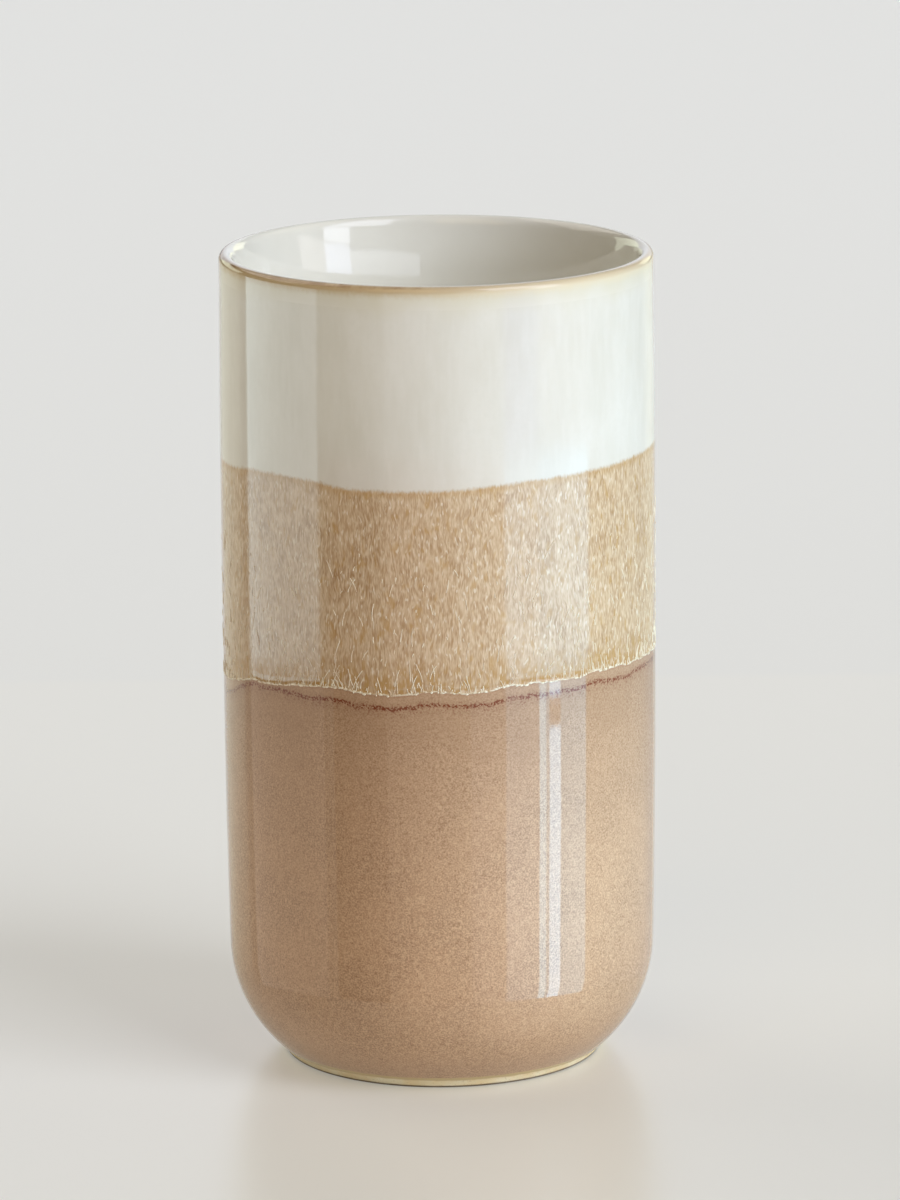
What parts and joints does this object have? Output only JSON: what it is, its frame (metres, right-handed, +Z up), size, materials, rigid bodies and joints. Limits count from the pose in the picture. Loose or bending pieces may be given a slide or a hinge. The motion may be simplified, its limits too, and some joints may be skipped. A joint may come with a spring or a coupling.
{
  "type": "ceramic tumbler",
  "caption": "Straight-sided glazed stoneware tumbler with a rounded base and bare foot ring, which holds toothbrushes or a drink at a basin.",
  "frame": {"origin": "centre of the foot ring, on the surface that the tumbler stands on", "axes": "+Z up the tumbler's axis, -Y towards the side that the picture shows, +X to its right"},
  "size_m": [0.0702, 0.0702, 0.1319],
  "materials": {
    "bare_stoneware": "bare fired clay, matt and fine-grained",
    "liner_glaze": "glossy white glaze",
    "lip_glaze": "thin glossy glaze broken to tan over the lip",
    "white_glaze": "glossy off-white glaze with faint runs",
    "tan_glaze": "glossy tan reactive glaze with fine cream threads",
    "rose_glaze": "satin-gloss rose-brown glaze with fine speckle",
    "recess_glaze": "glossy white glaze"
  },
  "bodies": {
    "root": {"clay_body": "bare_stoneware", "liner_glaze": "liner_glaze", "lip_glaze": "lip_glaze", "white_glaze": "white_glaze", "tan_glaze": "tan_glaze", "rose_glaze": "rose_glaze", "recess_glaze": "recess_glaze"}
  },
  "joints": []
}
